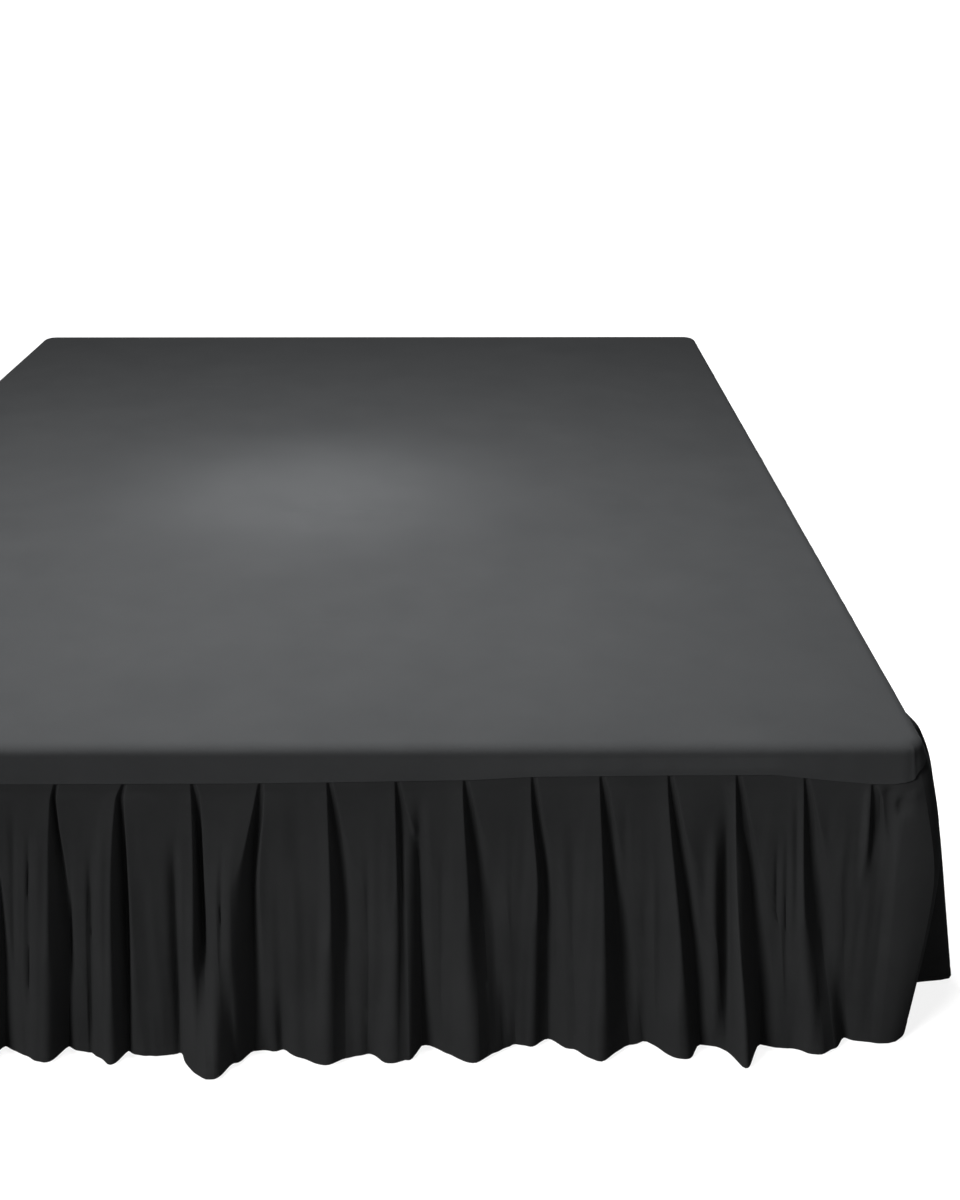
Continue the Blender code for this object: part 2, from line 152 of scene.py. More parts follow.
TOP_FOLDS = {
    "A": Fold(-2.4, 0.90, -0.70, 1.00, -0.40, 0.38, 0.05, 1.00),
    "B": Fold(-2.6, 0.90, -1.00, 1.00, -0.60, 0.38, 0.05, 1.05),
    "C": Fold(-1.7, 0.90, -0.10, 1.00, 0.20, 0.38, 1.00, 0.85),
    "D": Fold(-2.3, 0.90, -0.60, 0.95, -0.30, 0.38, 0.50, 1.00),
    "E": Fold(-1.7, 0.85, -0.10, 1.00, 0.20, 0.38, 1.00, 0.80),
    "F": Fold(-1.6, 0.85, -0.10, 0.95, 0.10, 0.38, 1.00, 0.85),
    "G": Fold(-1.7, 0.90, -0.10, 1.05, 0.20, 0.38, 1.10, 0.85),
    "H": Fold(-1.6, 0.85, -0.10, 0.95, 0.10, 0.38, 0.90, 0.80),
    "I": Fold(-1.7, 0.90, 0.00, 1.00, 0.25, 0.38, 1.20, 0.85),
    "J": Fold(-1.6, 0.90, 0.00, 1.00, 0.30, 0.38, 1.10, 0.85),
    "K": Fold(-1.3, 0.75, -0.05, 1.10, 0.30, 0.38, 1.10, 0.80),
    "L": Fold(-1.6, 0.85, 0.00, 1.00, 0.25, 0.38, 1.20, 0.80),
    "M": Fold(-1.7, 0.85, -0.10, 0.95, 0.20, 0.38, 1.40, 0.95),
    "N": Fold(-1.3, 1.90, 0.00, 1.50, 0.30, 0.38, 1.00, 0.90),
    "O": Fold(-3.0, 1.70, -1.50, 2.90, 0.20, 0.50, 1.10, 0.90),
}

MID_FOLDS = {
    "A": Fold(-3.3, 2.6, -1.7, 3.1, -0.1, 1.1, 0.6, 1.8),
    "B": Fold(-3.9, 2.4, -2.2, 3.1, -0.9, 0.7, -0.1, 2.3),
    "C": Fold(-1.9, 2.4, -0.4, 2.9, 0.2, 0.9, 1.1, 2.6),
    "D": Fold(-4.5, 3.4, -3.0, 3.2, -1.5, 0.9, -0.6, 2.2),
    "E": Fold(-1.7, 2.4, 0.0, 2.9, 1.0, 1.0, 2.6, 1.8),
    "F": Fold(-1.5, 2.4, 0.0, 2.7, 0.35, 1.7, 3.4, 1.6),
    "G": Fold(-1.2, 2.3, 0.5, 2.8, 1.6, 0.9, 3.4, 1.5),
    "H": Fold(-0.7, 1.9, 0.8, 2.3, 1.4, 0.7, 2.8, 1.6),
    "I": Fold(-1.6, 2.4, 0.7, 2.8, 1.8, 0.7, 3.2, 1.6),
    "J": Fold(0.0, 2.0, 1.4, 2.6, 2.5, 0.7, 3.7, 2.0),
    "K": Fold(-0.1, 0.9, 0.6, 3.4, 2.7, 0.4, 3.9, 1.5),
    "L": Fold(-0.6, 2.0, 0.7, 2.5, 2.2, 0.6, 4.0, 1.8),
    "M": Fold(-1.1, 1.85, 0.3, 1.95, 1.2, 1.85, 2.5, 2.0),
    "N": Fold(-1.5, 4.3, 0.2, 3.2, 1.8, 1.8, 3.2, 2.4),
    "O": Fold(-3.0, 3.4, -1.4, 7.8, 1.4, 2.0, 3.4, 1.6),
}

HEM_FOLDS = {
    "A": Fold(-5.2, 4.2, -3.3, 6.0, -1.8, 2.4, -0.2, 3.2),
    "B": Fold(-5.4, 3.8, -3.3, 6.1, -2.1, 3.3, -1.0, 4.2),
    "C": Fold(-3.5, 3.6, -1.9, 6.4, 0.2, 8.1, 2.1, 8.1),
    "D": Fold(-4.6, 5.7, -3.8, 5.3, -2.6, 2.9, -0.4, 3.4),
    "E": Fold(-3.6, 4.6, -1.3, 6.2, 0.9, 4.6, 2.8, 4.2),
    "F": Fold(-3.2, 3.7, -1.2, 5.9, 0.7, 4.6, 3.4, 2.2),
    "G": Fold(-1.6, 3.8, 0.8, 6.0, 2.9, 4.1, 5.4, 1.9),
    "H": Fold(-0.7, 2.3, 0.6, 2.8, 2.0, 0.9, 5.0, 3.2),
    "I": Fold(-0.8, 4.5, 1.6, 5.3, 4.1, 1.9, 7.2, 2.1),
    "J": Fold(1.5, 4.3, 3.9, 5.1, 5.0, 2.1, 7.7, 3.0),
    "K": Fold(1.2, 4.0, 2.6, 7.3, 4.6, 2.1, 7.1, 3.0),
    "L": Fold(1.6, 3.0, 3.7, 4.5, 5.8, 3.0, 7.6, 0.8),
    "M": Fold(0.9, 1.4, 1.8, 1.9, 2.4, 2.0, 3.0, 2.0),
    "N": Fold(-2.2, 2.2, -0.6, 2.0, 1.2, 1.8, 3.0, 3.0),
    "O": Fold(-3.8, 5.3, -3.0, 12.2, 1.6, 4.5, 4.6, 3.4),
}

# The folds of each drop in order: across the foot from the left, and from the foot to the head
FOOT_ORDER = "LMEDBAABCDEFGHIJKLM"
RIGHT_ORDER = "NOHJLMCEFGIKMCDFHJKMEGILM"
LEFT_ORDER = "NKMEGHJLMCFIKMCDGIJMEFHLM"

# How far out the cloth turns the foot's corners, at the fold tables' heights
CORNER_OUT = (0.0048, 0.014, 0.041, 0.025)
FOOT_CORNER_OUT = (0.0046, 0.011, 0.032, 0.023)
SIDE_CORNER_OUT = (0.0046, 0.016, 0.037, 0.024)
HEAD_END_OUT = (0.0048, 0.008, 0.016, 0.024)

# Floor of a fold: how far it lies from the tuck towards the edge at the fold tables' heights, and
# how much of the way out to the edge it has by then
FLOOR_SPREAD = (0.60, 0.85, 0.45, 0.30)
FLOOR_RISE = 0.15
# Least distance along the wall between two corners
LEAST_STEP = 0.0011
# Most of a run between two corners that one corner's rounding takes up
MOST_OF_A_RUN = 0.47

# Length of a fold's rounding where its crease is pressed sharp and where it has opened
SHARP_ROUNDING = (0.0006, 0.0008, 0.0022, 0.0090)
OPEN_ROUNDING = (0.0030, 0.0040, 0.0120, 0.0180)
# How far down each fold's ridge and its far edge stay sharp, as shares of the drop
Crisp = namedtuple("Crisp", "ridge edge")
CRISP = {
    "A": Crisp(0.55, 0.60),
    "B": Crisp(0.75, 0.95),
    "C": Crisp(0.60, 0.25),
    "D": Crisp(0.20, 1.00),
    "E": Crisp(0.50, 0.15),
    "F": Crisp(0.35, 0.10),
    "G": Crisp(0.40, 0.10),
    "H": Crisp(0.45, 0.10),
    "I": Crisp(0.75, 0.15),
    "J": Crisp(0.70, 0.15),
    "K": Crisp(0.62, 0.30),
    "L": Crisp(0.45, 0.10),
    "M": Crisp(0.20, 0.05),
    "N": Crisp(0.20, 0.05),
    "O": Crisp(0.05, 0.05),
}
CRISP_FADE = 0.25
# Folds that turn in a wider round than the others
LOOSE = {"O": 2.2}

# Valleys and, with a negative depth, ridges on the foot's panels: place across at the seam's
# side and at the hem's side, shares from and to, half width, depth
CREASES = (
    (-0.277, -0.309, 0.12, 0.80, 0.0036, 0.0024),
    (-0.259, -0.290, 0.22, 0.82, 0.0024, 0.0040),
    (-0.249, -0.279, 0.20, 0.95, 0.0060, -0.0024),
    (-0.213, -0.241, 0.36, 0.70, 0.0022, 0.0044),
    (-0.190, -0.216, 0.30, 1.02, 0.0042, 0.0060),
    (-0.178, -0.202, 0.18, 0.92, 0.0050, -0.0026),
    (-0.129, -0.150, 0.30, 0.90, 0.0090, 0.0020),
    (-0.099, -0.109, 0.24, 1.20, 0.0064, 0.0082),
    (-0.091, -0.103, 0.30, 1.20, 0.0028, -0.0020),
    (-0.042, -0.059, 0.28, 0.58, 0.0022, 0.0040),
    (-0.031, -0.048, 0.25, 0.70, 0.0050, -0.0020),
    (0.015, 0.012, 0.80, 1.30, 0.0090, 0.0090),
    (0.042, 0.030, 0.05, 0.40, 0.0100, 0.0014),
    (0.066, 0.057, 0.45, 1.20, 0.0070, 0.0026),
    (0.123, 0.114, 0.30, 1.00, 0.0050, 0.0026),
    (0.167, 0.165, 0.16, 1.10, 0.0050, -0.0030),
    (0.181, 0.178, 0.12, 1.10, 0.0062, 0.0095),
    (0.205, 0.205, 0.25, 0.90, 0.0045, 0.0018),
    (0.263, 0.267, 0.30, 1.20, 0.0060, 0.0028),
    (0.278, 0.283, 0.42, 1.20, 0.0040, -0.0020),
    (0.335, 0.342, 0.32, 0.80, 0.0034, 0.0028),
    (0.353, 0.362, 0.20, 1.20, 0.0060, 0.0024),
    (0.412, 0.425, 0.12, 0.75, 0.0040, 0.0018),
    (0.433, 0.447, 0.45, 1.20, 0.0056, 0.0030),
    (0.445, 0.458, 0.35, 0.90, 0.0034, -0.0018),
    (0.501, 0.519, 0.36, 0.85, 0.0036, 0.0024),
    (0.513, 0.529, 0.22, 0.96, 0.0060, -0.0052),
    (0.532, 0.549, 0.16, 0.96, 0.0082, 0.0092),
    (0.584, 0.605, 0.28, 0.68, 0.0028, 0.0038),
    (0.595, 0.616, 0.26, 0.70, 0.0026, 0.0040),
    (0.606, 0.629, 0.08, 0.55, 0.0040, 0.0024),
    (0.642, 0.669, 0.10, 0.60, 0.0090, 0.0018),
    (0.662, 0.690, 0.30, 1.20, 0.0060, 0.0022),
    (0.6885, 0.6905, 0.04, 0.30, 0.0042, -0.0050),
    (0.7095, 0.7445, 0.06, 0.16, 0.0070, 0.0100),
)

# Small dents and, with a negative depth, bumps by the foot's right corner: place across, share of
# the drop, half width, half height as a share, depth
PUCKERS = (
    (0.7262, 0.080, 0.0055, 0.030, 0.0060),
    (0.7140, 0.035, 0.0090, 0.018, 0.0026),
    (0.7345, 0.060, 0.0040, 0.035, -0.0022),
    (0.7050, 0.020, 0.0060, 0.016, -0.0014),
)

# Rows of points down a drop
ROW_BANDS = (
    # down to this share of the drop, rows
    (0.08, 9),
    (0.20, 8),
    (0.94, 24),
    (1.00, 5),
)
HEM_STITCH = 0.014
HEM_STITCH_DEPTH = 0.0004
HEM_STITCH_WIDTH = 0.0025

# Least distance out from the wall of a drop's middle line
LEAST_OUT = 0.0034

# Unevenness of the drops: depth of each kind of wave, and the waves' seed, count, shortest and
# longest lengths along and down
WAVE_STRENGTHS = (0.5, 1.0)
# Share of the number of waves that brings their sum to between about -1 and 1
WAVE_SCALE = 0.6
HEM_WAVE = 0.0030
HEM_WAVE_LIMITS = (-0.9, 1.2)
PANEL_RELIEF = 0.0016
RIPPLE_RELIEF = 0.0006
HEM_RELIEF = 0.0024
RIB_RELIEF = 0.0010
HEM_WAVE_KINDS = (41, 9, (0.018, 1.0), (0.090, 2.0))
PANEL_WAVE_KINDS = (17, 12, (0.030, 0.30), (0.090, 0.90))
RIPPLE_WAVE_KINDS = (29, 14, (0.012, 0.18), (0.030, 0.50))
LOW_WAVE_KINDS = (53, 12, (0.020, 0.50), (0.060, 1.20))
RIB_WAVE_KINDS = (61, 16, (0.013, 0.90), (0.034, 3.00))
# Shares of the drop over which each kind of relief grows in
PANEL_GROWTH = (0.04, 0.30)
LOW_GROWTH = (0.45, 1.0)
RIB_GROWTH = (0.18, 0.50)
CREASE_FADES = (0.10, 0.14)
SIDE_WAVES_START = 5.0

# Deck's waves, and the band's
DECK_RELIEF = 0.0026
DECK_RIPPLE = 0.00035
BAND_RELIEF = 0.0007
DECK_WAVE_KINDS = (5, 10, (0.35, 0.30), (1.10, 0.95))
DECK_RIPPLE_KINDS = (8, 14, (0.060, 0.045), (0.240, 0.160))
BAND_WAVE_KINDS = (23, 9, (0.040, 1.0), (0.300, 2.0))
DECK_WAVE_REACH = 0.03
DECK_CALM_EDGE = 0.10
BAND_WAVE_START = 0.006
BAND_WAVE_HOLD = 0.010

# Deck's grid
DECK_STEP = 0.0085
CORNER_SEAM = 0.0085
CORNER_SEAM_RISE = 0.0011
CORNER_SEAM_WIDTH = 0.0016
CORNER_STEP = 0.003
LEAST_SPACING = 0.0012
LIP_SHARES = (0.5, 0.8, 1.0)
WRINKLE_LINES = (-1.8, -1.2, -0.6, 0.0, 0.6, 1.2, 1.8)
SEAM_STEPS = (-0.0030, -0.0015, 0.0, 0.0015, 0.0030)
BAND_STEPS = 8
ROUND_STEPS = 7
SHELF_STEPS = 3

# Wrinkles on the deck: from and to across, along the bed, height, half width
WRINKLES = (
    (-0.060, 0.133, -0.216, 0.0011, 0.0045),
    (-0.018, 0.005, -0.299, 0.0008, 0.0040),
    (0.038, 0.085, -0.656, 0.0009, 0.0040),
    (-0.346, -0.227, 0.544, 0.0012, 0.0060),
    (-0.684, -0.620, 0.709, 0.0010, 0.0060),
)
WRINKLE_FADES = (0.02, 0.03)
WRINKLE_BEND = 0.004
WRINKLE_BEND_WAVES = 31.0

# Colours of the two cloths, their lighter parts, and how much sheen they have
SKIRT_COLOUR = (0.0045, 0.0046, 0.0047)
SKIRT_LIGHTER = (0.0055, 0.0056, 0.0057)
SKIRT_SHEEN = 0.0052
DECK_COLOUR = (0.0065, 0.0067, 0.0069)
DECK_LIGHTER = (0.0072, 0.0074, 0.0076)
DECK_SHEEN = 0.0069

# Studio
FLOOR_SIZE = 160.0
FLOOR_GLOW = 0.86
WORLD_STRENGTH = 0.07
STRAIGHT_DOWN = (0.0, 0.0, -1.0)
OVERHEAD_PLACE = (-0.05, -0.57, 1.88)
OVERHEAD_SIZE = 1.0
OVERHEAD_POWER = 366.0
SPOT_PLACE = (-0.02, -0.12, 1.60)
SPOT_POWER = 435.0
SPOT_WIDTH = 33
SPOT_SOFTNESS = 0.15
SIDE_LIGHTS = (
    # name, strength, the way that the light goes
    ("left_light", 12.2, (0.68, 0.59, -0.43)),
    ("right_light", 0.6, (-0.68, 0.59, -0.38)),
)
SIDE_LIGHT_SPREAD = 20


# Places round the bed


def along_wall(half_run, wall_out, along, out):
    """Points along and out from a wall that turns the bed's rounded corners."""
    past = np.maximum(np.abs(along) - half_run, 0.0)
    turn = past / CORNER_RADIUS
    turned = past > 0
    reach = np.where(turned, CORNER_RADIUS + out, 0.0)
    side = np.sign(along)
    across = np.where(turned, side * (half_run + reach * np.sin(turn)), along)
    away = np.where(turned, wall_out - CORNER_RADIUS + reach * np.cos(turn), wall_out + out)
    return across, away


def foot_point(along, out):
    x, away = along_wall(FOOT_HALF_RUN, BED_LENGTH / 2, along, out)
    return x, -away


def head_point(along, out):
    x, y = foot_point(along, out)
    return -x, -y


def side_point(side, from_corner, out):
    """Points on a side, from the middle of the foot's corner towards the head."""
    along = SIDE_HALF_RUN + CORNER_ARC - from_corner
    toward_foot, away = along_wall(SIDE_HALF_RUN, BED_WIDTH / 2, along, out)
    return side * away, -toward_foot


def right_point(from_corner, out):
    return side_point(1, from_corner, out)


def left_point(from_corner, out):
    return side_point(-1, from_corner, out)


def foot_seam(along):
    places, depths = np.array(FOOT_BAND_DEPTHS).T
    return DECK_TOP - np.interp(along, places, depths)


def side_seam(from_corner):
    places, depths = np.array(SIDE_BAND_DEPTHS).T
    return DECK_TOP - np.interp(from_corner, places, depths)


def band_below_edge(seam):
    """Height of the band under the deck's rounded edge."""
    return DECK_TOP - CLOTH - TOUCH_GAP - EDGE_RADIUS - seam


# Noise, the same in every run


def waves(seed, count, shortest, longest):
    """Random waves as rows of two wave numbers, a phase and a strength."""
    chance = np.random.default_rng(seed)
    rows = []
    for _ in range(count):
        lengths = [chance.uniform(low, high) for low, high in zip(shortest, longest)]
        signs = chance.choice((-1.0, 1.0), 2)
        rows.append(
            (
                signs[0] * math.tau / lengths[0],
                signs[1] * math.tau / lengths[1],
                chance.uniform(0, math.tau),
                chance.uniform(*WAVE_STRENGTHS),
            )
        )
    return rows


HEM_WAVES = waves(*HEM_WAVE_KINDS)
PANEL_WAVES = waves(*PANEL_WAVE_KINDS)
RIPPLE_WAVES = waves(*RIPPLE_WAVE_KINDS)
LOW_WAVES = waves(*LOW_WAVE_KINDS)
RIB_WAVES = waves(*RIB_WAVE_KINDS)
DECK_WAVES = waves(*DECK_WAVE_KINDS)
DECK_RIPPLES = waves(*DECK_RIPPLE_KINDS)
BAND_WAVES = waves(*BAND_WAVE_KINDS)


def summed(rows, one, two):
    """Value between about -1 and 1 of random waves at the places one and two."""
    total = 0.0
    for first, second, phase, strength in rows:
        total = total + strength * np.cos(first * one + second * two + phase)
    return total / (WAVE_SCALE * len(rows))


def smooth_step(low, high, value):
    share = np.clip((value - low) / (high - low), 0.0, 1.0)
    return share * share * (3 - 2 * share)


# Drops


def through(values, share):
    """Smooth value at each share of the drop that stays between the values it runs through."""
    rises = [
        (high - low) / (end - start)
        for low, high, start, end in zip(values, values[1:], FOLD_SHARES, FOLD_SHARES[1:])
    ]
    slopes = [rises[0]]
    for one, two in zip(rises, rises[1:]):
        slopes.append(2 * one * two / (one + two) if one * two > 0 else 0.0)
    slopes.append(rises[-1])
    values = np.array(values, dtype=float)
    slopes = np.array(slopes)
    index = np.clip(np.searchsorted(FOLD_SHARES, share, side="left") - 1, 0, len(rises) - 1)
    width = FOLD_SHARES[index + 1] - FOLD_SHARES[index]
    step = (share - FOLD_SHARES[index]) / width
    back = 1 - step
    return (
        values[index] * (1 + 2 * step) * back * back
        + values[index + 1] * (3 - 2 * step) * step * step
        + slopes[index] * width * step * back * back
        - slopes[index + 1] * width * step * step * back
    )


# A corner of a drop's plan at every row: places along and out, its rounding, and how many points
# go round it and onto the run before it
Corner = namedtuple("Corner", "along out rounding turn_points run_points")
# Points round a fold's knee, ridge, tuck, floor and edge, and on the runs that lead to them
Detail = namedtuple("Detail", "turns runs")
FOOT_DETAIL = Detail((9, 6, 3, 4, 5), (13, 5, 3, 2, 2))
SIDE_DETAIL = Detail((5, 5, 2, 3, 4), (9, 4, 2, 2, 2))


def crease_rounding(share, crisp_to):
    opened = smooth_step(crisp_to, crisp_to + CRISP_FADE, share)
    sharp = through(SHARP_ROUNDING, share)
    return sharp + (through(OPEN_ROUNDING, share) - sharp) * opened


def fold_corners(name, line, share, detail):
    """A fold's five corners at every row."""
    levels = zip(SEAM_FOLD, TOP_FOLDS[name], MID_FOLDS[name], HEM_FOLDS[name])
    fold = Fold(*(through(level, share) * CENTIMETRE for level in levels))
    spread = through(FLOOR_SPREAD, share)
    floor = fold.tuck + (fold.edge - fold.tuck) * spread
    floor_out = fold.tuck_out + (fold.edge_out - fold.tuck_out) * FLOOR_RISE * spread
    crisp = CRISP[name]
    soft = through(OPEN_ROUNDING, share)
    ridge_turn = crease_rounding(share, crisp.ridge) * LOOSE.get(name, 1.0)
    edge_turn = crease_rounding(share, crisp.edge)
    places = (
        (fold.knee, fold.knee_out, soft),
        (fold.ridge, fold.ridge_out, ridge_turn),
        (fold.tuck, fold.tuck_out, ridge_turn),
        (floor, floor_out, edge_turn),
        (fold.edge, fold.edge_out, edge_turn),
    )
    return [
        Corner(line + along, out, rounding, turn, run)
        for (along, out, rounding), turn, run in zip(places, detail.turns, detail.runs)
    ]


def end_corners(places, share, run_points):
    soft = through(OPEN_ROUNDING, share)
    return [
        Corner(np.full_like(share, along), through(out, share), soft, 3, run_points)
        for along, out in places
    ]


def keep_in_order(corners, end):
    """Corners that follow each other along the wall with a little room between them."""
    kept = [corners[0]]
    for left, corner in enumerate(corners[1:], 1):
        lowest = kept[-1].along + LEAST_STEP
        highest = end - LEAST_STEP * (len(corners) - 1 - left)
        kept.append(corner._replace(along=np.minimum(np.maximum(corner.along, lowest), highest)))
    return kept


def toward(start, end, distance):
    length = np.linalg.norm(end - start, axis=1)
    share = np.minimum(distance / length, MOST_OF_A_RUN)[:, None]
    return start + (end - start) * share


def drop_plan(order, lines, before, after, share, detail):
    """Middle line of a drop's cloth at every row, as places along and out from its wall."""
    corners = end_corners(before, share, detail.runs[0])
    for name, line in zip(order, lines):
        corners += fold_corners(name, line, share, detail)
    corners += end_corners(after, share, detail.runs[0])
    corners = keep_in_order(corners, after[-1][0])
    places = [np.stack((corner.along, corner.out), axis=1) for corner in corners]
    plan = [places[0]]
    for index in range(1, len(corners) - 1):
        corner = corners[index]
        first = toward(places[index], places[index - 1], corner.rounding)
        last = toward(places[index], places[index + 1], corner.rounding)
        start = plan[-1]
        for step in range(1, corner.run_points + 1):
            plan.append(start + (first - start) * step / (corner.run_points + 1))
        for step in range(corner.turn_points):
            past = step / (corner.turn_points - 1)
            back = 1 - past
            plan.append(
                back * back * first + 2 * back * past * places[index] + past * past * last
            )
    plan.append(places[-1])
    return np.stack(plan, axis=1)


def offset(plan, distance, slopes):
    """The plan moved outwards by a distance, square to the cloth and to the slope of each end."""
    run = np.empty_like(plan)
    run[:, 1:-1] = plan[:, 2:] - plan[:, :-2]
    for end, slope in zip((0, -1), slopes):
        run[:, end, 0] = 1.0
        run[:, end, 1] = slope
    run /= np.linalg.norm(run, axis=2, keepdims=True)
    moved = plan.copy()
    moved[:, :, 0] -= run[:, :, 1] * distance
    moved[:, :, 1] += run[:, :, 0] * distance
    return moved


def grid_faces(rows, columns, start=0):
    """Quads of a grid of points whose columns follow each other within a row."""
    row, column = np.meshgrid(np.arange(rows - 1), np.arange(columns - 1), indexing="ij")
    first = (start + row * columns + column).ravel()
    return np.stack((first, first + 1, first + columns + 1, first + columns), axis=1)


def strip_faces(one, two):
    """Quads between two lines of points."""
    return np.stack((one[:-1], one[1:], two[1:], two[:-1]), axis=1)


def mesh_object(name, points, quads, material, others=()):
    """Smooth mesh object whose faces all point outwards."""
    mesh = bpy.data.meshes.new(name)
    faces = quads.tolist() + [list(face) for face in others]
    mesh.from_pydata(points.tolist(), [], faces)
    surface = bmesh.new()
    surface.from_mesh(mesh)
    bmesh.ops.recalc_face_normals(surface, faces=surface.faces)
    surface.to_mesh(mesh)
    surface.free()
    mesh.shade_smooth()
    mesh.set_sharp_from_angle(angle=SHARP_ANGLE)
    mesh.materials.append(material)
    piece = bpy.data.objects.new(name, mesh)
    bpy.context.scene.collection.objects.link(piece)
    return piece


def row_shares():
    """Shares of the drop at its rows of points, the first one twice for the edge behind the band."""
    shares = [0.0, 0.0]
    for low, count in ROW_BANDS:
        shares += list(np.linspace(shares[-1], low, count + 1)[1:])
    return np.array(shares)


def drop_piece(name, node, order, lines, before, after, slopes, detail, maps, relief, material):
    """Closed sheet of one pleated drop, with its top edge tucked up behind the band."""
    point_at, seam_at = maps
    share = row_shares()
    plan = drop_plan(order, lines, before, after, share, detail)
    plan[:, 1:-1, 1] += relief(plan[:, 1:-1, 0], share[:, None])
    plan[:, :, 1] = np.maximum(plan[:, :, 1], LEAST_OUT)
    plan[0, :, 1] *= SEAM_TUCK_LEAN
    turned = through([side - foot for side, foot in zip(SIDE_CORNER_OUT, FOOT_CORNER_OUT)], share)
    slopes = [slope * turned / CORNER_ARC for slope in slopes]
    layers = []
    for distance in (CLOTH / 2, -CLOTH / 2):
        moved = offset(plan, distance, slopes)
        along, out = moved[:, :, 0], moved[:, :, 1]
        seam = seam_at(along)
        hem = HEM_HEIGHT + HEM_WAVE * np.clip(summed(HEM_WAVES, along, 0.0), *HEM_WAVE_LIMITS)
        height = seam - share[:, None] * (seam - hem)
        height[0] += np.minimum(SEAM_TUCK, SEAM_TUCK_SHARE * band_below_edge(seam[0]))
        x, y = point_at(along, out)
        layers.append(np.stack((x, y, height), axis=2))
    rows, columns = plan.shape[:2]
    count = rows * columns
    index = np.arange(count).reshape(rows, columns)
    quads = [grid_faces(rows, columns), grid_faces(rows, columns, count)]
    for line in (index[0], index[-1], index[:, 0], index[:, -1]):
        quads.append(strip_faces(line, line + count))
    points = np.concatenate([layer.reshape(-1, 3) for layer in layers])
    piece = mesh_object(name, points, np.concatenate(quads), material)
    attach(piece, "root")
    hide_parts(node)
    return piece


def cloth_relief(along, share):
    """Soft unevenness of a drop's panels, out from the wall."""
    drop = DECK_TOP - HEAD_BAND_DEPTH
    grown = smooth_step(*PANEL_GROWTH, share)
    relief = PANEL_RELIEF * summed(PANEL_WAVES, along, share * drop)
    relief = relief + RIPPLE_RELIEF * summed(RIPPLE_WAVES, along, share * drop)
    low = smooth_step(*LOW_GROWTH, share)
    relief = relief + HEM_RELIEF * low * summed(LOW_WAVES, along, share * drop)
    ribbed = smooth_step(*RIB_GROWTH, share)
    relief = relief + RIB_RELIEF * ribbed * summed(RIB_WAVES, along, share * drop)
    stitched = np.exp(-(((1 - share) * drop - HEM_STITCH) / HEM_STITCH_WIDTH) ** 2)
    return relief * grown - HEM_STITCH_DEPTH * stitched


def foot_relief(along, share):
    relief = cloth_relief(along, share)
    outer, inner = CREASE_FADES
    for place, low_place, first, last, half_width, depth in CREASES:
        window = smooth_step(first - outer, first + inner, share)
        window = window * (1 - smooth_step(last - inner, last + outer, share))
        middle = place + (low_place - place) * share
        relief = relief - depth * window * np.exp(-(((along - middle) / half_width) ** 2))
    for place, height, half_width, half_height, depth in PUCKERS:
        nearness = ((along - place) / half_width) ** 2 + ((share - height) / half_height) ** 2
        relief = relief - depth * np.exp(-nearness)
    return relief


def side_relief(along, share):
    return cloth_relief(along + SIDE_WAVES_START, share)


# Deck


def in_steps(start, end, step):
    count = max(1, round((end - start) / step))
    return np.linspace(start, end, count + 1)


def deck_height(x, y):
    """How far the deck's cloth rises over its flat height."""
    broad = summed(DECK_WAVES, x, y)
    fine = summed(DECK_RIPPLES, x, y)
    height = DECK_RELIEF * (0.5 + 0.5 * broad) + DECK_RIPPLE * (0.5 + 0.5 * fine)
    outer, inner = WRINKLE_FADES
    for first, last, along, rise, half_width in WRINKLES:
        run = smooth_step(first - outer, first + inner, x)
        run = run * (1 - smooth_step(last - inner, last + outer, x))
        bend = WRINKLE_BEND * np.sin((x - first) * WRINKLE_BEND_WAVES)
        height = height + rise * run * np.exp(-(((y - along - bend) / half_width) ** 2))
    inside = np.minimum(FOOT_HALF_RUN - np.abs(x), SIDE_HALF_RUN - np.abs(y)) + DECK_WAVE_REACH
    return np.maximum(height, 0.0) * smooth_step(0.0, DECK_CALM_EDGE, inside)


def deck_stations(x_lines, y_lines):
    """Places round the bed with their wall, seam, corner seam's nearness and grid point."""
    foot_end = FOOT_HALF_RUN + CORNER_ARC
    side_end = SIDE_HALF_RUN + CORNER_ARC
    closer = CORNER_SEAM + np.array(SEAM_STEPS)
    first = in_steps(0.0, closer[0], CORNER_STEP)[:-1]
    rest = in_steps(closer[-1], CORNER_ARC, CORNER_STEP)[1:-1]
    turns = np.concatenate((first, closer, rest))
    across = len(x_lines) - 1
    length = len(y_lines) - 1
    stations = []

    def add(point_at, place, seam, column, row, from_corner):
        stations.append((point_at, place, float(seam), column, row, from_corner))

    for past in turns:
        add(foot_point, -foot_end + past, foot_seam(-foot_end + past), 0, 0, past)
    for column, x in enumerate(x_lines):
        add(foot_point, x, foot_seam(x), column, 0, CORNER_ARC)
    for past in turns[:0:-1]:
        add(foot_point, foot_end - past, foot_seam(foot_end - past), across, 0, past)
    for past in turns:
        add(right_point, past, side_seam(past), across, 0, past)
    for row, y in enumerate(y_lines):
        place = side_end + y
        add(right_point, place, side_seam(place), across, row, CORNER_ARC)
    for past in turns[:0:-1]:
        place = 2 * side_end - past
        add(right_point, place, side_seam(place), across, length, past)
    for past in turns:
        add(head_point, -foot_end + past, DECK_TOP - HEAD_BAND_DEPTH, across, length, past)
    for column, x in reversed(list(enumerate(x_lines))):
        add(head_point, -x, DECK_TOP - HEAD_BAND_DEPTH, column, length, CORNER_ARC)
    for past in turns[:0:-1]:
        add(head_point, foot_end - past, DECK_TOP - HEAD_BAND_DEPTH, 0, length, past)
    for past in turns:
        place = 2 * side_end - past
        add(left_point, place, side_seam(place), 0, length, past)
    for row, y in reversed(list(enumerate(y_lines))):
        place = side_end + y
        add(left_point, place, side_seam(place), 0, row, CORNER_ARC)
    for past in turns[:0:-1]:
        add(left_point, past, side_seam(past), 0, 0, past)
    return stations


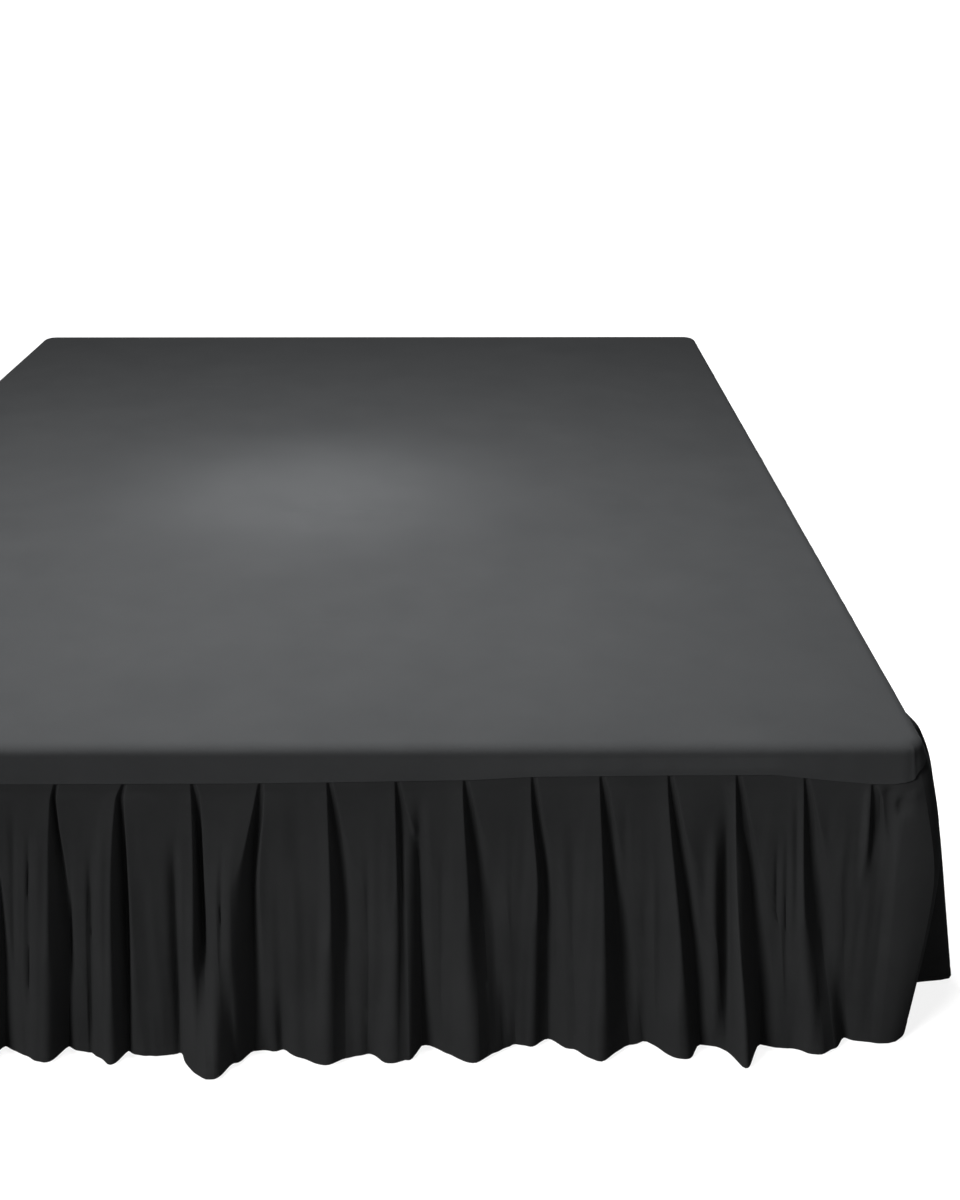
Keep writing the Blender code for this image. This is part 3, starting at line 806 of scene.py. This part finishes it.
def between(start, end, share):
    return tuple(low + (high - low) * share for low, high in zip(start, end))


def deck_profile(seam, inner):
    """Places out from the bed's side and heights, from the flat top down to the band's seam."""
    thickness = 0.0 if inner else CLOTH
    top = DECK_TOP - CLOTH + thickness
    centre = DECK_TOP - CLOTH - TOUCH_GAP - EDGE_RADIUS
    out_radius = EDGE_RADIUS + DRAPE_GAP + thickness
    shelf = CORNER_RADIUS - EDGE_RADIUS
    profile = []
    for step in range(1, SHELF_STEPS):
        profile.append((-CORNER_RADIUS + shelf * step / SHELF_STEPS, top))
    for step in range(ROUND_STEPS + 1):
        turn = math.pi / 2 * step / ROUND_STEPS
        out = -EDGE_RADIUS + out_radius * math.sin(turn)
        profile.append((out, centre + (top - centre) * math.cos(turn)))
    lip_rise = min(BAND_LIP_RISE, BAND_LIP_SHARE * band_below_edge(seam))
    start = profile[-1]
    lip_top = (BAND_LIP_TOP_OUT - CLOTH + thickness, seam + lip_rise)
    for step in range(1, BAND_STEPS + 1):
        share = step / BAND_STEPS
        profile.append(between(start, lip_top, share))
    lip = (BAND_LIP_OUT - CLOTH + thickness, seam)
    for share in LIP_SHARES:
        profile.append(between(lip_top, lip, share))
    return profile


def spaced(places):
    """Places in order, without those that almost meet the one before them or the last one."""
    places = sorted(places)
    kept = [places[0]]
    for place in places[1:-1]:
        if min(place - kept[-1], places[-1] - place) > LEAST_SPACING:
            kept.append(place)
    return np.array(kept + [places[-1]])


def deck_piece(material):
    """Top panel with its rounded edges and the band turned down round it."""
    x_lines = list(in_steps(-FOOT_HALF_RUN, FOOT_HALF_RUN, DECK_STEP))
    x_lines += [across for across, _ in FOOT_BAND_DEPTHS if abs(across) < FOOT_HALF_RUN]
    x_lines = spaced(x_lines)
    y_lines = list(in_steps(-SIDE_HALF_RUN, SIDE_HALF_RUN, DECK_STEP))
    for _, _, along, _, half_width in WRINKLES:
        y_lines += [along + half_width * line for line in WRINKLE_LINES]
    y_lines = spaced(y_lines)

    grid_x, grid_y = np.meshgrid(x_lines, y_lines)
    grid_z = DECK_TOP + deck_height(grid_x, grid_y)
    grid = np.stack((grid_x, grid_y, grid_z), axis=2).reshape(-1, 3)
    columns = len(x_lines)
    quads = [grid_faces(len(y_lines), columns)]
    points = [grid]
    others = []
    stations = deck_stations(x_lines, y_lines)
    count = len(stations)
    grid_line = np.array([row * columns + column for _, _, _, column, row, _ in stations])
    total = len(grid)
    rings = []
    for inner in (False, True):
        profiles = np.array([deck_profile(station[2], inner) for station in stations])
        ring_count = profiles.shape[1]
        xs = np.empty((ring_count, count))
        ys = np.empty((ring_count, count))
        zs = profiles[:, :, 1].T.copy()
        round_start = SHELF_STEPS - 1
        for spot, (point_at, place, seam, _, _, past) in enumerate(stations):
            out = profiles[spot, :, 0].copy()
            if point_at in (foot_point, head_point):
                from_seam = (past - CORNER_SEAM) / CORNER_SEAM_WIDTH
            else:
                from_seam = (past + CORNER_SEAM) / CORNER_SEAM_WIDTH
            ridge = CORNER_SEAM_RISE * math.exp(-(from_seam**2))
            wave = BAND_RELIEF * summed(BAND_WAVES, place, zs[:, spot])
            grown = smooth_step(0.0, BAND_WAVE_START, DECK_TOP - CLOTH - zs[:, spot])
            held = smooth_step(0.0, BAND_WAVE_HOLD, zs[:, spot] - seam)
            out += (ridge * (0.0 if inner else 1.0) + np.maximum(wave, 0.0) * held) * grown
            xs[:, spot], ys[:, spot] = point_at(np.full(ring_count, place), out)
        if not inner:
            zs[:round_start] += deck_height(xs[:round_start], ys[:round_start])
        ring_points = np.stack((xs, ys, zs), axis=2)
        first = total
        total += ring_count * count
        points.append(ring_points.reshape(-1, 3))
        index = first + np.arange(ring_count * count).reshape(ring_count, count)
        rings.append(index)
        closed = np.concatenate((index, index[:, :1]), axis=1)
        for one, two in zip(closed, closed[1:]):
            quads.append(strip_faces(one, two))
    outer, inner_rings = rings
    closed_grid = np.concatenate((grid_line, grid_line[:1]))
    closed_first = np.concatenate((outer[0], outer[0][:1]))
    for index in range(count):
        near, next_near = closed_grid[index], closed_grid[index + 1]
        far, next_far = closed_first[index], closed_first[index + 1]
        if near == next_near:
            others.append((near, next_far, far))
        else:
            others.append((near, next_near, next_far, far))
    others.append(tuple(inner_rings[0]))
    lip = np.concatenate((outer[-1], outer[-1][:1]))
    inner_lip = np.concatenate((inner_rings[-1], inner_rings[-1][:1]))
    quads.append(strip_faces(lip, inner_lip))
    piece = mesh_object("deck_sheet", np.concatenate(points), np.concatenate(quads), material, others)
    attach(piece, "root")
    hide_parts("deck")
    return piece


# Materials


def new_material(name):
    material = bpy.data.materials.new(name)
    material.use_nodes = True
    return material, material.node_tree.nodes, material.node_tree.links


def new_node(nodes, kind, **inputs):
    """Node with values for its inputs, an underscore for each space in their names."""
    node = nodes.new(kind)
    for name, value in inputs.items():
        node.inputs[name.replace("_", " ")].default_value = value
    return node


def charcoal_cloth(name, colour, lighter, sheen):
    """Brushed, close-woven cloth that catches light at a low angle."""
    material, nodes, links = new_material(name)
    shader = nodes["Principled BSDF"]
    shader.inputs["Specular IOR Level"].default_value = 0.0
    shader.inputs["Sheen Weight"].default_value = sheen
    shader.inputs["Sheen Roughness"].default_value = 0.35
    shader.inputs["Sheen Tint"].default_value = (0.93, 0.96, 1.0, 1.0)
    place = nodes.new("ShaderNodeTexCoord")
    mottle = new_node(nodes, "ShaderNodeTexNoise", Scale=9.0, Detail=6.0, Roughness=0.62)
    links.new(place.outputs["Object"], mottle.inputs["Vector"])
    tint = new_node(nodes, "ShaderNodeMapRange", From_Min=0.3, From_Max=0.7)
    links.new(mottle.outputs["Fac"], tint.inputs["Value"])
    blend = nodes.new("ShaderNodeMix")
    blend.data_type = "RGBA"
    blend.inputs["A"].default_value = (*colour, 1.0)
    blend.inputs["B"].default_value = (*lighter, 1.0)
    links.new(tint.outputs["Result"], blend.inputs["Factor"])
    links.new(blend.outputs["Result"], shader.inputs["Base Color"])
    rough = new_node(nodes, "ShaderNodeMapRange", To_Min=0.62, To_Max=0.78)
    links.new(mottle.outputs["Fac"], rough.inputs["Value"])
    links.new(rough.outputs["Result"], shader.inputs["Roughness"])
    weave_heights = []
    for axis in ("X", "Z"):
        weave = nodes.new("ShaderNodeTexWave")
        weave.wave_type = "BANDS"
        weave.bands_direction = axis
        weave.inputs["Scale"].default_value = 520.0
        weave.inputs["Distortion"].default_value = 1.2
        weave.inputs["Detail"].default_value = 1.0
        links.new(place.outputs["Object"], weave.inputs["Vector"])
        weave_heights.append(weave.outputs["Fac"])
    weave_sum = nodes.new("ShaderNodeMath")
    weave_sum.operation = "ADD"
    links.new(weave_heights[0], weave_sum.inputs[0])
    links.new(weave_heights[1], weave_sum.inputs[1])
    weave_bump = new_node(nodes, "ShaderNodeBump", Strength=0.25, Distance=0.0002)
    links.new(weave_sum.outputs["Value"], weave_bump.inputs["Height"])
    nap = new_node(nodes, "ShaderNodeTexNoise", Scale=240.0, Detail=3.0)
    links.new(place.outputs["Object"], nap.inputs["Vector"])
    nap_bump = new_node(nodes, "ShaderNodeBump", Strength=0.20, Distance=0.0006)
    links.new(nap.outputs["Fac"], nap_bump.inputs["Height"])
    links.new(weave_bump.outputs["Normal"], nap_bump.inputs["Normal"])
    links.new(nap_bump.outputs["Normal"], shader.inputs["Normal"])
    return material


def ticking_cloth():
    """Pale mattress ticking with a narrow woven stripe."""
    material, nodes, links = new_material("ticking")
    shader = nodes["Principled BSDF"]
    shader.inputs["Roughness"].default_value = 0.85
    shader.inputs["Specular IOR Level"].default_value = 0.25
    shader.inputs["Sheen Weight"].default_value = 0.15
    place = nodes.new("ShaderNodeTexCoord")
    stripe = nodes.new("ShaderNodeTexWave")
    stripe.bands_direction = "X"
    stripe.wave_profile = "SIN"
    stripe.inputs["Scale"].default_value = 26.0
    links.new(place.outputs["Object"], stripe.inputs["Vector"])
    ramp = nodes.new("ShaderNodeValToRGB")
    ramp.color_ramp.elements[0].position = 0.93
    ramp.color_ramp.elements[0].color = (0.66, 0.65, 0.62, 1.0)
    ramp.color_ramp.elements[1].position = 0.97
    ramp.color_ramp.elements[1].color = (0.50, 0.51, 0.52, 1.0)
    links.new(stripe.outputs["Fac"], ramp.inputs["Fac"])
    links.new(ramp.outputs["Color"], shader.inputs["Base Color"])
    weave = new_node(nodes, "ShaderNodeTexNoise", Scale=420.0, Detail=2.0)
    links.new(place.outputs["Object"], weave.inputs["Vector"])
    bump = new_node(nodes, "ShaderNodeBump", Strength=0.25, Distance=0.0004)
    links.new(weave.outputs["Fac"], bump.inputs["Height"])
    links.new(bump.outputs["Normal"], shader.inputs["Normal"])
    return material


def base_cover():
    """Grey woven cover of the bed base."""
    material, nodes, links = new_material("base_cloth")
    shader = nodes["Principled BSDF"]
    shader.inputs["Roughness"].default_value = 0.9
    shader.inputs["Specular IOR Level"].default_value = 0.2
    place = nodes.new("ShaderNodeTexCoord")
    fleck = new_node(nodes, "ShaderNodeTexNoise", Scale=300.0, Detail=4.0)
    links.new(place.outputs["Object"], fleck.inputs["Vector"])
    ramp = nodes.new("ShaderNodeValToRGB")
    ramp.color_ramp.elements[0].position = 0.35
    ramp.color_ramp.elements[0].color = (0.10, 0.10, 0.105, 1.0)
    ramp.color_ramp.elements[1].position = 0.65
    ramp.color_ramp.elements[1].color = (0.20, 0.20, 0.205, 1.0)
    links.new(fleck.outputs["Fac"], ramp.inputs["Fac"])
    links.new(ramp.outputs["Color"], shader.inputs["Base Color"])
    bump = new_node(nodes, "ShaderNodeBump", Strength=0.4, Distance=0.0005)
    links.new(fleck.outputs["Fac"], bump.inputs["Height"])
    links.new(bump.outputs["Normal"], shader.inputs["Normal"])
    return material


def plinth_paint():
    """Dark satin paint with a faint grain, a little worn."""
    material, nodes, links = new_material("plinth_paint")
    shader = nodes["Principled BSDF"]
    place = nodes.new("ShaderNodeTexCoord")
    stretch = new_node(nodes, "ShaderNodeMapping", Scale=(4.0, 4.0, 90.0))
    links.new(place.outputs["Object"], stretch.inputs["Vector"])
    grain = new_node(nodes, "ShaderNodeTexNoise", Scale=3.0, Detail=8.0)
    links.new(stretch.outputs["Vector"], grain.inputs["Vector"])
    ramp = nodes.new("ShaderNodeValToRGB")
    ramp.color_ramp.elements[0].color = (0.018, 0.018, 0.019, 1.0)
    ramp.color_ramp.elements[1].color = (0.040, 0.039, 0.038, 1.0)
    links.new(grain.outputs["Fac"], ramp.inputs["Fac"])
    links.new(ramp.outputs["Color"], shader.inputs["Base Color"])
    rough = new_node(nodes, "ShaderNodeMapRange", To_Min=0.40, To_Max=0.62)
    links.new(grain.outputs["Fac"], rough.inputs["Value"])
    links.new(rough.outputs["Result"], shader.inputs["Roughness"])
    bump = new_node(nodes, "ShaderNodeBump", Strength=0.15, Distance=0.0005)
    links.new(grain.outputs["Fac"], bump.inputs["Height"])
    links.new(bump.outputs["Normal"], shader.inputs["Normal"])
    return material


# Bed under the cloth


def edge_rise(line):
    return abs(line.verts[0].co.z - line.verts[1].co.z)


def in_fixed_order(block):
    """Points and faces of a bevelled block, whose own order changes from run to run."""
    corners = sorted(block.verts, key=lambda point: [round(value, 6) for value in point.co])
    places = {point: place for place, point in enumerate(corners)}
    faces = []
    for face in block.faces:
        around = [places[point] for point in face.verts]
        first = around.index(min(around))
        faces.append(around[first:] + around[:first])
    return [tuple(point.co) for point in corners], sorted(faces)


def block_piece(name, node, width, length, bottom, top, corner, edge, crown, material):
    """Upright block with rounded corners and edges whose head end swells a little."""
    block = bmesh.new()
    bmesh.ops.create_cube(block, size=1.0)
    for point in block.verts:
        point.co.x *= width
        point.co.y *= length
        point.co.z = (bottom + top) / 2 + point.co.z * (top - bottom)
    upright = [line for line in block.edges if edge_rise(line) > UPRIGHT_RISE]
    bmesh.ops.bevel(
        block, geom=upright, offset=corner, segments=CORNER_SEGMENTS, affect="EDGES", profile=0.5
    )
    rims = [
        line
        for line in block.edges
        if edge_rise(line) < LEVEL_RISE
        and len(line.link_faces) == 2
        and any(abs(face.normal.z) > LEVEL_FACE for face in line.link_faces)
        and any(abs(face.normal.z) < UPRIGHT_FACE for face in line.link_faces)
    ]
    bmesh.ops.bevel(
        block, geom=rims, offset=edge, segments=EDGE_SEGMENTS, affect="EDGES", profile=0.5
    )
    for axis, size, pieces in ((0, width, CUTS_ACROSS), (2, top - bottom, CUTS_UP)):
        for step in range(1, pieces):
            share = step / pieces - 0.5
            place = [0.0, 0.0, (bottom + top) / 2]
            place[axis] += size * share
            way = [0.0, 0.0, 0.0]
            way[axis] = 1.0
            geometry = list(block.verts) + list(block.edges) + list(block.faces)
            bmesh.ops.bisect_plane(block, geom=geometry, plane_co=place, plane_no=way)
    half_width, middle, half_height = width / 2, (bottom + top) / 2, (top - bottom) / 2
    for point in block.verts:
        if point.co.y > length / 2 - SWELL_REACH:
            across = 1 - (point.co.x / half_width) ** SWELL_ACROSS
            up = 1 - ((point.co.z - middle) / half_height) ** SWELL_UP
            point.co.y += crown * max(across, 0.0) * max(up, 0.0)
    points, faces = in_fixed_order(block)
    block.free()
    mesh = bpy.data.meshes.new(name)
    mesh.from_pydata(points, [], faces)
    mesh.shade_smooth()
    mesh.materials.append(material)
    piece = bpy.data.objects.new(name, mesh)
    bpy.context.scene.collection.objects.link(piece)
    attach(piece, "root")
    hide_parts(node)
    return piece


# Studio


def make_camera():
    camera = bpy.data.objects.new("camera", bpy.data.cameras.new("camera"))
    bpy.context.scene.collection.objects.link(camera)
    camera.location = CAMERA_PLACE
    camera.rotation_euler = (math.pi / 2 - CAMERA_DIP, 0.0, CAMERA_TURN)
    camera.data.lens = CAMERA_LENS
    camera.data.clip_start, camera.data.clip_end = CAMERA_CLIPS
    bpy.context.scene.camera = camera


def aimed(way):
    """Turn of a light that shines along a direction."""
    flat = math.hypot(way[0], way[1])
    return (math.atan2(flat, -way[2]), 0.0, math.atan2(-way[0], way[1]))


def new_light(name, kind, strength, place, way):
    light = bpy.data.objects.new(name, bpy.data.lights.new(name, kind))
    light.data.energy = strength
    light.location = place
    light.rotation_euler = aimed(way)
    light.visible_camera = False
    bpy.context.scene.collection.objects.link(light)
    return light.data


def make_studio():
    world = bpy.data.worlds.new("studio")
    world.use_nodes = True
    background = world.node_tree.nodes["Background"]
    background.inputs["Color"].default_value = (1.0, 1.0, 1.0, 1.0)
    background.inputs["Strength"].default_value = WORLD_STRENGTH
    bpy.context.scene.world = world
    bpy.context.scene.view_settings.view_transform = "Standard"
    overhead = new_light("overhead", "AREA", OVERHEAD_POWER, OVERHEAD_PLACE, STRAIGHT_DOWN)
    overhead.shape = "RECTANGLE"
    overhead.size, overhead.size_y = OVERHEAD_SIZE, OVERHEAD_SIZE
    spot = new_light("spot", "SPOT", SPOT_POWER, SPOT_PLACE, STRAIGHT_DOWN)
    spot.spot_size = math.radians(SPOT_WIDTH)
    spot.spot_blend = 1.0
    spot.shadow_soft_size = SPOT_SOFTNESS
    for name, strength, way in SIDE_LIGHTS:
        side = new_light(name, "SUN", strength, (0.0, 0.0, 0.0), way)
        side.angle = math.radians(SIDE_LIGHT_SPREAD)

    floor = bpy.data.meshes.new("floor")
    half = FLOOR_SIZE / 2
    corners = [(-half, -half, 0), (half, -half, 0), (half, half, 0), (-half, half, 0)]
    floor.from_pydata(corners, [], [(0, 1, 2, 3)])
    material, nodes, links = new_material("floor")
    shader = nodes["Principled BSDF"]
    shader.inputs["Roughness"].default_value = 0.9
    shader.inputs["Specular IOR Level"].default_value = 0.0
    shader.inputs["Emission Color"].default_value = (1.0, 1.0, 1.0, 1.0)
    shader.inputs["Emission Strength"].default_value = FLOOR_GLOW
    place = nodes.new("ShaderNodeTexCoord")
    noise = new_node(nodes, "ShaderNodeTexNoise", Scale=0.4)
    links.new(place.outputs["Object"], noise.inputs["Vector"])
    ramp = nodes.new("ShaderNodeValToRGB")
    ramp.color_ramp.elements[0].color = (0.14, 0.14, 0.14, 1.0)
    ramp.color_ramp.elements[1].color = (0.16, 0.16, 0.16, 1.0)
    links.new(noise.outputs["Fac"], ramp.inputs["Fac"])
    links.new(ramp.outputs["Color"], shader.inputs["Base Color"])
    floor.materials.append(material)
    ground = bpy.data.objects.new("floor", floor)
    bpy.context.scene.collection.objects.link(ground)


def pleat_lines(count, first, last):
    return [first + (last - first) * index / (count - 1) for index in range(count)]


def make_cloth(mattress):
    skirt_cloth = charcoal_cloth("skirt_cloth", SKIRT_COLOUR, SKIRT_LIGHTER, SKIRT_SHEEN)
    deck_cloth = charcoal_cloth("deck_cloth", DECK_COLOUR, DECK_LIGHTER, DECK_SHEEN)

    reach = BED_WIDTH / 2 - PLEAT_MARGIN
    end = FOOT_HALF_RUN + CORNER_ARC - SEAM_GAP / 2
    near = end - CORNER_ARC / 2
    foot = drop_piece(
        "foot_drop",
        "skirt_foot",
        FOOT_ORDER,
        pleat_lines(FOOT_PLEATS, -reach, reach),
        ((-end, CORNER_OUT), (-near, FOOT_CORNER_OUT)),
        ((near, FOOT_CORNER_OUT), (end, CORNER_OUT)),
        (-1, 1),
        FOOT_DETAIL,
        (foot_point, foot_seam),
        foot_relief,
        skirt_cloth,
    )
    past_corner = CORNER_ARC - CORNER_RADIUS
    start = SEAM_GAP / 2
    end = BED_LENGTH - HEAD_END_MARGIN + past_corner
    last = BED_LENGTH - PLEAT_MARGIN + past_corner
    lines = pleat_lines(SIDE_PLEATS, PLEAT_MARGIN + past_corner, last)
    before = ((start, CORNER_OUT), (start + CORNER_ARC / 2, SIDE_CORNER_OUT))
    for name, node, order, point_at in (
        ("right_drop", "skirt_right", RIGHT_ORDER, right_point),
        ("left_drop", "skirt_left", LEFT_ORDER, left_point),
    ):
        drop_piece(
                name,
                node,
                order,
                lines,
                before,
                ((end, HEAD_END_OUT),),
                (1, 0),
                SIDE_DETAIL,
                (point_at, side_seam),
                side_relief,
                skirt_cloth,
            )
    deck = deck_piece(deck_cloth)


def make_bed():
    ticking = ticking_cloth()
    cover = base_cover()
    mattress = block_piece(
        "mattress_pad",
        "mattress",
        BED_WIDTH,
        BED_LENGTH,
        MATTRESS_BOTTOM,
        DECK_TOP - CLOTH - TOUCH_GAP,
        CORNER_RADIUS,
        EDGE_RADIUS,
        MATTRESS_CROWN,
        ticking,
    )
    base = block_piece(
        "base_box",
        "base",
        BED_WIDTH - 2 * BASE_INSET,
        BED_LENGTH - 2 * BASE_INSET,
        PLINTH_HEIGHT + TOUCH_GAP,
        MATTRESS_BOTTOM - TOUCH_GAP,
        CORNER_RADIUS - BASE_INSET,
        BASE_EDGE_RADIUS,
        BASE_CROWN,
        cover,
    )
    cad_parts["plinth"].material_slots[0].material = plinth_paint()
    return mattress


make_camera()
make_cloth(make_bed())
make_studio()
